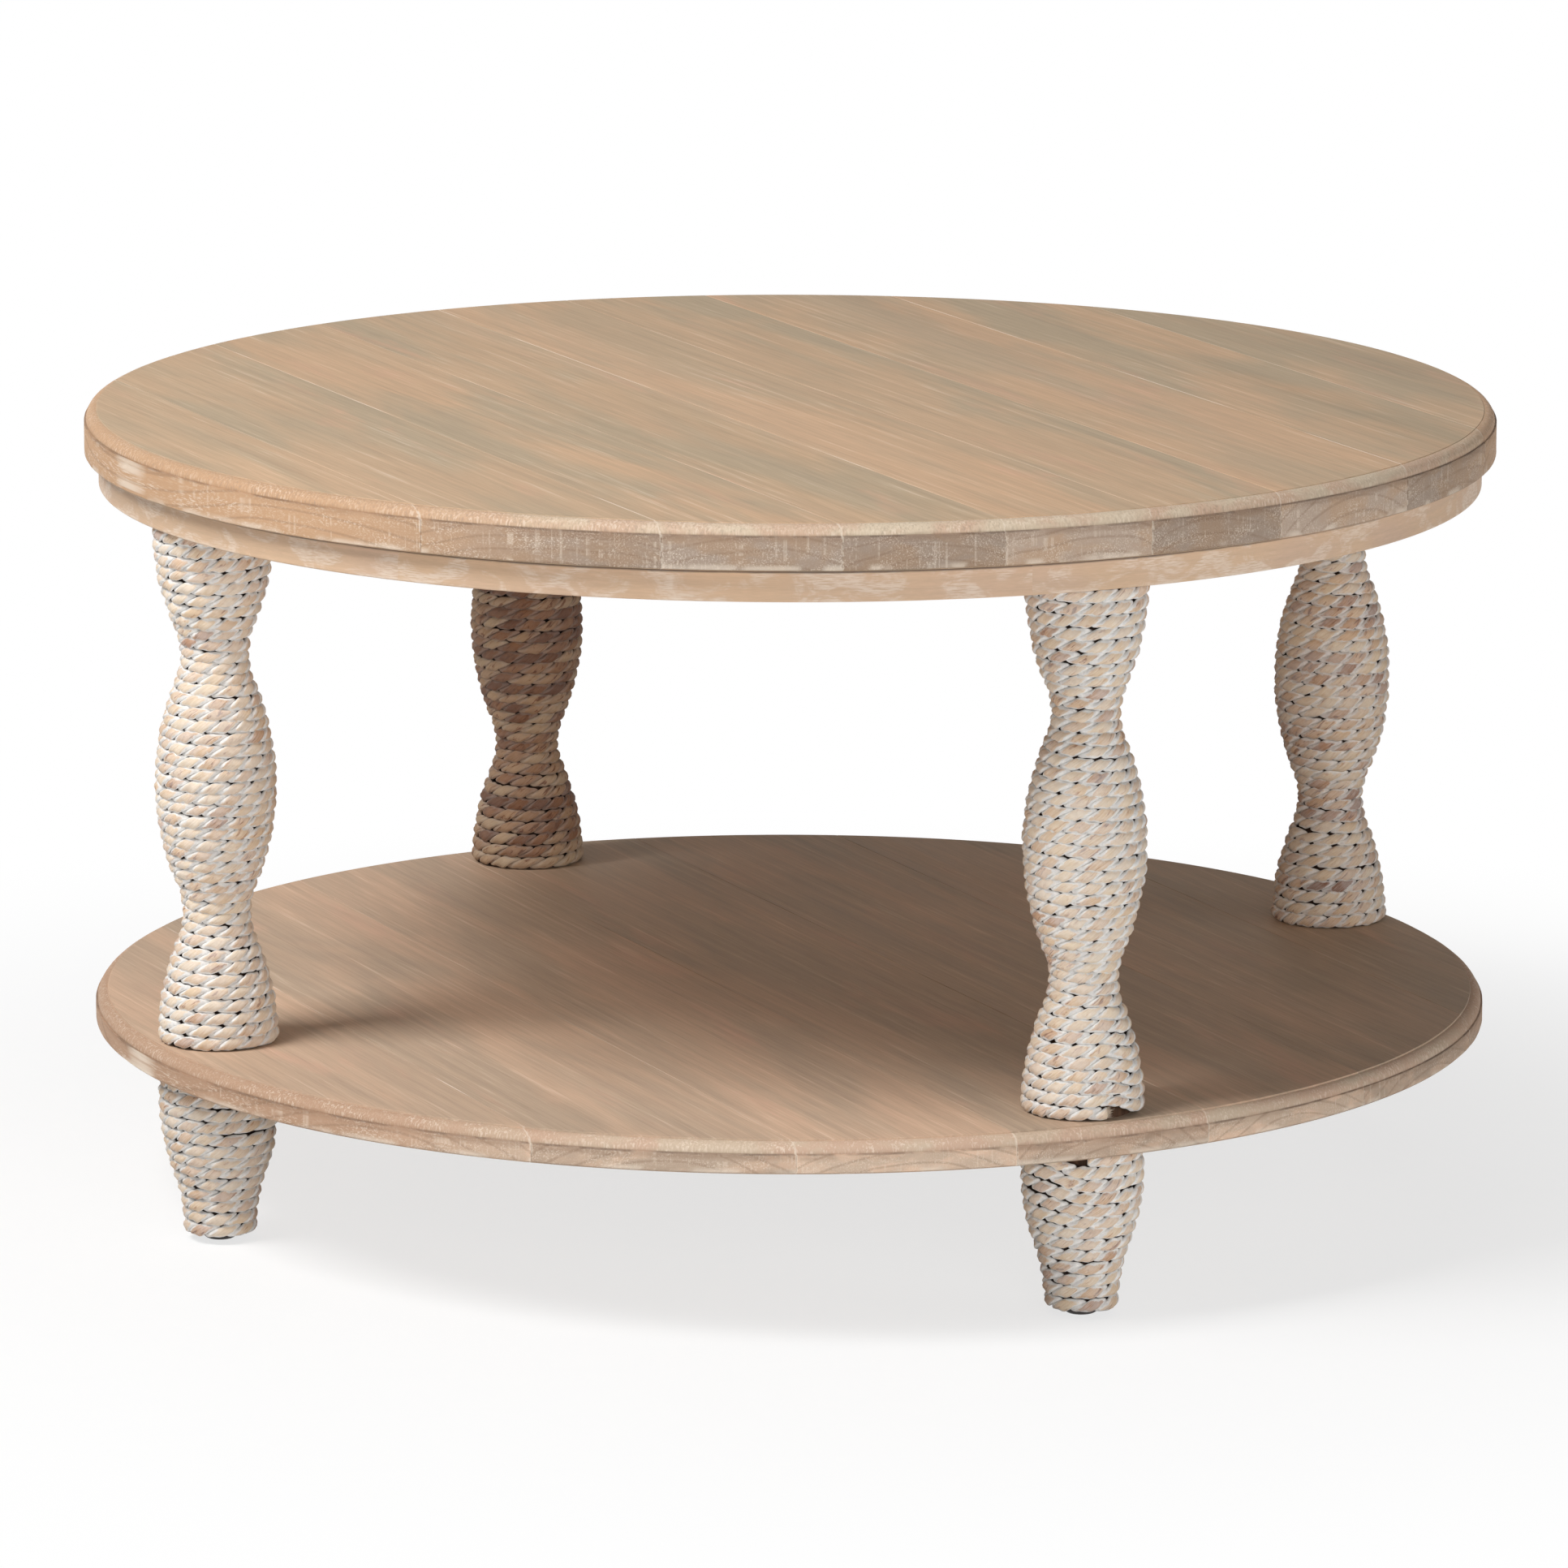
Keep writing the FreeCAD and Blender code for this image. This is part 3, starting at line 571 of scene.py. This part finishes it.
def wrap(core, rope, look, painted_shade, seed, frayed=False):
    """Two twisted strands wound round a core, turn against turn."""
    rng = np.random.default_rng(seed)
    s, centre, out, up = wind(rng, core, rope, look)
    rings = len(s)
    twist = -2 * math.pi * s / ROPE_LAY + stray(rng, s, *TWIST_STRAY)
    sides = np.arange(STRAND_SIDES) * 2 * math.pi / STRAND_SIDES
    co, height, tone, fibre, faces = [], [], [], [], []
    smear = 0.5 + stray(rng, s, 0.5, 0.11)
    brown_band = np.clip((stray(rng, s, 1.0, 0.15) - 0.60) / 0.2, 0, 1) * look["brown_band"]
    for strand in (0, 1):
        phase = twist + math.pi * strand
        c, n = np.cos(phase), np.sin(phase)
        e1 = out * c[:, None] + up * n[:, None]
        e2 = up * c[:, None] - out * n[:, None]
        width = 1 + stray(rng, s, *WIDTH_STRAY)
        depth = 1 + stray(rng, s, *DEPTH_STRAY)
        swell = 0.985 + 0.085 * c
        lobe = np.floor((phase + math.pi) / (2 * math.pi)).astype(int)
        lobe -= lobe.min()
        marks = rng.uniform(0, 1, lobe.max() + 1)
        base = sum(len(x) for x in co)
        ring_co = np.empty((rings, STRAND_SIDES, 3))
        ring_h = np.empty((rings, STRAND_SIDES))
        ring_f = np.empty((rings, STRAND_SIDES, 3))
        for k, a in enumerate(sides):
            ca, sa = math.cos(a), math.sin(a)
            thick = (STRAND_OUT if ca > 0 else STRAND_IN) * depth * swell
            # squarer than an ellipse, as strands are when they press on each other
            wide = STRAND_HALF_WIDTH * math.copysign(abs(sa) ** STRAND_SQUARENESS, sa) * width * swell
            x = STRAND_OFFSET + thick * ca
            ring_co[:, k] = centre + e1 * x[:, None] + e2 * wide[:, None]
            ring_h[:, k] = np.minimum(0.5 + (x * c - wide * n) / ROPE, 0.85 + 0.2 * ca)
            ring_f[:, k, 0] = s
            ring_f[:, k, 1] = ca * 0.0025 + 0.05 * strand
            ring_f[:, k, 2] = sa * 0.0025
        mark = marks[lobe] * 0.50 + look["brown"] * (0.25 + 0.35 * smear) + brown_band
        mark = np.where(marks[lobe] > 0.95, mark + 0.12, mark)
        co.append(ring_co.reshape(-1, 3))
        height.append(ring_h.reshape(-1))
        tone.append(np.repeat(mark, STRAND_SIDES))
        fibre.append(ring_f.reshape(-1, 3))
        i = np.arange(rings - 1)[:, None] * STRAND_SIDES + base
        k = np.arange(STRAND_SIDES)[None]
        k2 = (k + 1) % STRAND_SIDES
        faces.append(np.stack([i + k, i + k2, i + STRAND_SIDES + k2, i + STRAND_SIDES + k], 2).reshape(-1, 4))
        last = base + (rings - 1) * STRAND_SIDES
        faces.append([list(range(base, base + STRAND_SIDES))[::-1]])
        faces.append([list(range(last, last + STRAND_SIDES))])
    all_faces = [list(map(int, f)) for group in faces for f in group]
    co, height, tone = np.concatenate(co), np.concatenate(height), np.concatenate(tone)
    fibre = np.concatenate(fibre)

    hair_co, hair_faces = hair_tufts(rng, centre, out, up, s, frayed)
    all_faces += [[len(co) + i for i in f] for f in hair_faces]
    co = np.concatenate([co, hair_co])
    height = np.concatenate([height, np.full(len(hair_co), 0.93)])
    tone = np.concatenate([tone, np.full(len(hair_co), 0.25)])
    fibre = np.concatenate([fibre, hair_co])

    mesh = bpy.data.meshes.new(rope + "_strands")
    mesh.from_pydata(co.tolist(), [], all_faces)
    # Painted shade for this leg or foot: a factor on the rope's colour, kept on every point for the shader.
    paint, painted_shade = np.full(len(co), look["paint"]), np.full(len(co), painted_shade)
    levels = (("rope_height", height), ("rope_tone", tone), ("rope_paint", paint), ("rope_painted_shade", painted_shade))
    for name, values in levels:
        layer = mesh.attributes.new(name, "FLOAT", "POINT")
        layer.data.foreach_set("value", np.asarray(values, np.float32))
    layer = mesh.attributes.new("rope_fibre", "FLOAT_VECTOR", "POINT")
    layer.data.foreach_set("vector", fibre.astype(np.float32).ravel())
    mesh.polygons.foreach_set("use_smooth", np.ones(len(mesh.polygons), bool))
    mesh.validate()
    obj = bpy.data.objects.new(rope + "_strands", mesh)
    bpy.context.scene.collection.objects.link(obj)
    return obj


def hair_tufts(rng, centre, out, up, s, frayed):
    """Loose fibre ends: a few along the wrap, and a brush of them where a rope is cut."""
    co, faces = [], []

    def hair(root, heading, bend, length, radius):
        heading = heading / np.linalg.norm(heading)
        side = np.cross(heading, bend)
        if np.linalg.norm(side) < 1e-6:
            return
        side /= np.linalg.norm(side)
        other = np.cross(side, heading)
        base = len(co)
        for j in range(5):
            t = j / 4
            middle = root + heading * length * t + bend * length * 0.5 * t * t
            r = radius * (1.0 - 0.85 * t)
            for k in range(3):
                a = 2 * math.pi * k / 3
                co.append(middle + (side * math.cos(a) + other * math.sin(a)) * r)
        for j in range(4):
            for k in range(3):
                a, b = base + j * 3 + k, base + j * 3 + (k + 1) % 3
                faces.append([a, b, b + 3, a + 3])
        faces.append([base + 2, base + 1, base])
        faces.append([base + 12, base + 13, base + 14])

    ahead = np.gradient(centre, axis=0)
    ahead /= np.linalg.norm(ahead, axis=1)[:, None]
    for i in rng.integers(20, len(s) - 20, int(s[-1] * HAIRS_PER_METRE)):
        spin = rng.uniform(-0.9, 0.9)
        face = out[i] * math.cos(spin) + up[i] * math.sin(spin)
        heading = ahead[i] * rng.choice([-1, 1]) + face * rng.uniform(0.05, 0.35) + up[i] * rng.uniform(-0.5, 0.5)
        bend = -face * 0.25 + up[i] * rng.uniform(-0.4, 0.4)
        hair(centre[i] + face * ROPE * 0.47, heading, bend, rng.uniform(0.002, 0.006), rng.uniform(5e-5, 1.1e-4))
    if frayed:
        for _ in range(FRAYED_HAIRS):
            spin, reach = rng.uniform(0, 2 * math.pi), ROPE * 0.42 * math.sqrt(rng.uniform(0, 1))
            offset = out[0] * math.cos(spin) * reach + up[0] * math.sin(spin) * reach * 0.9
            heading = -ahead[0] + offset / ROPE * 0.9 + out[0] * rng.uniform(-0.1, 0.25)
            bend = offset / ROPE * 0.5 + rng.uniform(-0.25, 0.25, 3)
            bend[2] = max(bend[2], -0.02)
            heading[2] = max(heading[2], -0.03)
            hair(centre[0] + offset, heading, bend, rng.uniform(0.0012, 0.0042), rng.uniform(1e-4, 2.2e-4))
    return np.array(co), faces


def rope_material():
    s = Shader("whitewashed_rope")

    def attribute(name, output):
        return s.add("ShaderNodeAttribute", attribute_name=name).outputs[output]

    height, tone = attribute("rope_height", "Fac"), attribute("rope_tone", "Fac")
    paint, fibre = attribute("rope_paint", "Fac"), attribute("rope_fibre", "Vector")
    strands = s.noise(fibre, (170, 2400, 2400), 3.0, 0.6, 0.3)
    fine = s.noise(fibre, (420, 5200, 5200), 2.0, 0.6)
    lumps = s.noise(s.place, (420, 420, 420), 3.0, 0.6)
    blotch = s.noise(s.place, (60, 60, 60), 3.0, 0.6)
    dabs = s.noise(fibre, (150, 420, 420), 3.0, 0.6, 0.6)
    tone = s.math("MULTIPLY_ADD", s.math("SUBTRACT", blotch, 0.5), 0.35, tone)
    tone = s.math("ADD", tone, s.step(dabs, 0.55, 0.68, 0.0, 0.42))
    lobe = s.ramp(tone, [(0.0, colour(233, 214, 188)), (0.35, colour(224, 196, 162)), (0.62, colour(210, 172, 136)),
                         (0.80, colour(174, 126, 92)), (1.0, colour(134, 88, 60))])
    lobe = s.scaled(lobe, s.swing(strands, 0.20))
    lobe = s.scaled(lobe, s.swing(fine, 0.10))
    white = s.mix(s.step(lumps, 0.35, 0.65), colour(228, 225, 222), colour(246, 243, 239))
    level = s.math("MULTIPLY_ADD", s.math("SUBTRACT", lumps, 0.5), 0.34, height)
    covered = s.step(level, 0.965, 0.82)
    thin = s.step(s.math("MULTIPLY_ADD", s.math("SUBTRACT", strands, 0.5), 0.8, blotch), 0.30, 0.62, 0.08, 0.42)
    covered = s.math("MAXIMUM", covered, thin)
    covered = s.both(covered, paint)
    tint = s.mix(covered, lobe, white)
    # Painted shade: where the strands sink deepest between lobes and turns, the colour goes near black, as in shadow.
    tint = s.mix(s.step(height, 0.66, 0.56), tint, colour(50, 36, 29))
    # Painted shade: the rope's colour darkened leg by leg and foot by foot, standing in for the shade that falls on
    # them.
    tint = s.scaled(tint, attribute("rope_painted_shade", "Fac"))
    bump = s.math("ADD", s.math("MULTIPLY", strands, 0.8), s.math("MULTIPLY", fine, 0.4))
    bump = s.math("ADD", bump, s.math("MULTIPLY", lumps, 0.5))
    return s.finish(tint, s.math("MULTIPLY_ADD", lumps, 0.15, 0.70), bump, 0.00035, 0.7, Specular_IOR_Level=0.22)


ROPE_LOOK = rope_material()
for number, leg in enumerate(LEGS):
    for part, shift in (("leg", 0), ("foot", 1)):
        look = dict(LEG_LOOKS[leg])
        painted_shade = look["painted_shade"][shift]
        if part == "foot":
            look["start"] = FOOT_START
            look["brown"] += FOOT_BROWN
        strands = wrap(f"{part}_core_{leg}", f"{part}_rope_{leg}", look, painted_shade, 100 + number * 2 + shift,
                       frayed=part == "leg" and leg == "front_right")
        strands.data.materials.append(ROPE_LOOK)
        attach(strands, "root")
        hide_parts(f"{part}_rope_{leg}")


# ---------------------------------------------------------------- CAD nodes that stay
def dress(node, material):
    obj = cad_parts[node]
    obj.data.materials.clear()
    obj.data.materials.append(material)


def core_wood():
    s = Shader("turned_core_wood")
    grain = s.noise(s.place, (260, 260, 12), 3.0, 0.6, 0.4)
    fine = s.noise(s.place, (1400, 1400, 60), 2.0, 0.6)
    tint = s.mix(s.step(grain, 0.35, 0.65), colour(92, 66, 48), colour(66, 46, 34))
    tint = s.scaled(tint, s.swing(fine, 0.2))
    return s.finish(tint, s.math("MULTIPLY_ADD", grain, 0.2, 0.65), fine, 0.0002, 0.4, Specular_IOR_Level=0.2)


def glide_plastic():
    s = Shader("glide_plastic")
    grain = s.noise(s.place, (2600, 2600, 2600), 2.0, 0.6)
    rub = s.noise(s.place, (300, 300, 300), 3.0, 0.6)
    tint = s.mix(s.step(rub, 0.45, 0.7), colour(46, 40, 37), colour(74, 66, 60))
    return s.finish(tint, s.math("MULTIPLY_ADD", rub, 0.25, 0.42), grain, 0.0001, 0.4, Specular_IOR_Level=0.4)


def plated(name, tint_a, tint_b, rough):
    s = Shader(name)
    cloud = s.noise(s.place, (240, 240, 240), 3.0, 0.6)
    fine = s.noise(s.place, (3000, 3000, 900), 2.0, 0.6)
    tint = s.mix(s.step(cloud, 0.4, 0.65), tint_a, tint_b)
    return s.finish(tint, s.math("MULTIPLY_ADD", cloud, 0.25, rough), fine, 0.00005, 0.4, Metallic=1.0)


CORE, GLIDE = core_wood(), glide_plastic()
ZINC = plated("zinc_plated_steel", colour(202, 203, 200), colour(176, 178, 178), 0.24)
BRASS = plated("insert_brass", colour(206, 178, 116), colour(184, 152, 92), 0.26)
for n, warmth in zip(range(1, 8), (0.15, 0.55, 0.30, 0.05, 0.45, 0.25, 0.40)):
    dress(f"apron_segment_{n}", apron_wood(f"apron_segment_{n}", n * 2.9, warmth))
for leg in LEGS:
    dress(f"leg_core_{leg}", CORE)
    dress(f"foot_core_{leg}", CORE)
    dress(f"foot_glide_{leg}", GLIDE)
for node in ("top_hanger_bolts", "shelf_hanger_bolts", "glide_nails", "apron_screws"):
    dress(node, ZINC)
for node in ("apron_inserts", "leg_inserts"):
    dress(node, BRASS)


# ---------------------------------------------------------------- floor, light and camera
def background_share(tree):
    """1 for the rays that see the background as it is: camera, glossy and transmission rays."""
    path = tree.nodes.new("ShaderNodeLightPath")
    share = path.outputs["Is Camera Ray"]
    for name in ("Is Glossy Ray", "Is Transmission Ray"):
        node = tree.nodes.new("ShaderNodeMath")
        node.operation = "MAXIMUM"
        tree.links.new(share, node.inputs[0])
        tree.links.new(path.outputs[name], node.inputs[1])
        share = node.outputs[0]
    return share


def make_floor():
    """A pale floor that keeps the object's shadow, turns into the white background further out, and can be seen through
    from below."""
    bm = bmesh.new()
    bmesh.ops.create_circle(bm, cap_ends=True, segments=128, radius=6.0)
    mesh = bpy.data.meshes.new("floor")
    bm.to_mesh(mesh)
    bm.free()
    floor = bpy.data.objects.new("floor", mesh)
    bpy.context.scene.collection.objects.link(floor)
    floor.location.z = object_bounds()[0].z - 0.0001
    s = Shader("studio_floor")
    tree = s.tree
    paper = s.add("ShaderNodeBsdfDiffuse")
    grain = s.noise(s.place, (40, 40, 40), 2.0, 0.5)
    s.put(paper.inputs["Color"], s.mix(grain, colour(240, 240, 240), colour(244, 244, 243)))
    glow = s.add("ShaderNodeEmission")
    glow.inputs["Color"].default_value = (1, 1, 1, 1)
    glow.inputs["Strength"].default_value = 1.0
    far = s.step(s.vector("LENGTH", s.place), 0.35, 1.0, 0.72, 1.0)
    share = s.math("MULTIPLY", far, background_share(tree))
    blend = s.add("ShaderNodeMixShader")
    s.put(blend.inputs[0], share)
    tree.links.new(paper.outputs[0], blend.inputs[1])
    tree.links.new(glow.outputs[0], blend.inputs[2])
    clear = s.add("ShaderNodeBsdfTransparent")
    one_sided = s.add("ShaderNodeMixShader")
    s.put(one_sided.inputs[0], s.add("ShaderNodeNewGeometry").outputs["Backfacing"])
    tree.links.new(blend.outputs[0], one_sided.inputs[1])
    tree.links.new(clear.outputs[0], one_sided.inputs[2])
    out = s.add("ShaderNodeOutputMaterial")
    tree.links.new(one_sided.outputs[0], out.inputs[0])
    mesh.materials.append(s.material)


def make_world(level):
    world = bpy.data.worlds.new("studio")
    bpy.context.scene.world = world
    world.use_nodes = True
    tree = world.node_tree
    tree.nodes.clear()
    white = tree.nodes.new("ShaderNodeBackground")
    white.inputs["Color"].default_value = (1, 1, 1, 1)
    white.inputs["Strength"].default_value = 1.0
    fill = tree.nodes.new("ShaderNodeBackground")
    fill.inputs["Color"].default_value = (1.0, 0.985, 0.97, 1)
    fill.inputs["Strength"].default_value = level
    blend = tree.nodes.new("ShaderNodeMixShader")
    tree.links.new(background_share(tree), blend.inputs[0])
    tree.links.new(fill.outputs[0], blend.inputs[1])
    tree.links.new(white.outputs[0], blend.inputs[2])
    out = tree.nodes.new("ShaderNodeOutputWorld")
    tree.links.new(blend.outputs[0], out.inputs[0])


def softbox(name, heading, elevation, distance, size, level, glossy=True):
    """A square lamp that gives a white surface facing it a brightness of level. Heading 0 is the camera's side."""
    a, e = math.radians(CAMERA_AZIMUTH + heading), math.radians(elevation)
    back = Vector((math.sin(a) * math.cos(e), -math.cos(a) * math.cos(e), math.sin(e)))
    lamp = bpy.data.lights.new(name, "AREA")
    lamp.shape = "SQUARE"
    lamp.size = size
    lamp.energy = level * math.pi ** 2 * distance ** 2
    obj = bpy.data.objects.new(name, lamp)
    obj.location = Vector((0, 0, 0.26)) + back * distance
    obj.rotation_mode = "QUATERNION"
    obj.rotation_quaternion = (-back).to_track_quat("-Z", "Y")
    obj.visible_camera = False
    obj.visible_glossy = glossy
    bpy.context.scene.collection.objects.link(obj)


CAMERA_AZIMUTH, CAMERA_ELEVATION, CAMERA_DISTANCE = 18.5, 11.73, 5.447


def make_camera():
    a, e = math.radians(CAMERA_AZIMUTH), math.radians(CAMERA_ELEVATION)
    back = Vector((math.sin(a) * math.cos(e), -math.cos(a) * math.cos(e), math.sin(e)))
    right = Vector((math.cos(a), math.sin(a), 0))
    aim = right * -0.0032 + Vector((0, 0, 0.2268))
    data = bpy.data.cameras.new("camera")
    data.lens = 218.6
    data.sensor_width = 36.0
    camera = bpy.data.objects.new("camera", data)
    camera.location = aim + back * CAMERA_DISTANCE
    camera.rotation_mode = "QUATERNION"
    level = (-back).to_track_quat("-Z", "Y")
    camera.rotation_quaternion = level @ Quaternion((0, 0, 1), math.radians(0.1))
    bpy.context.scene.collection.objects.link(camera)
    bpy.context.scene.camera = camera


make_floor()
make_world(0.03)
softbox("key", -61, 50, 3.6, 1.5, 1.00)
softbox("front", 10, 4, 2.3, 1.2, 0.38)
softbox("right", 72, 5, 2.3, 1.1, 0.20)
softbox("back", 185, 3, 2.3, 1.1, 0.20, glossy=False)
make_camera()
bpy.context.scene.view_settings.view_transform = "Standard"
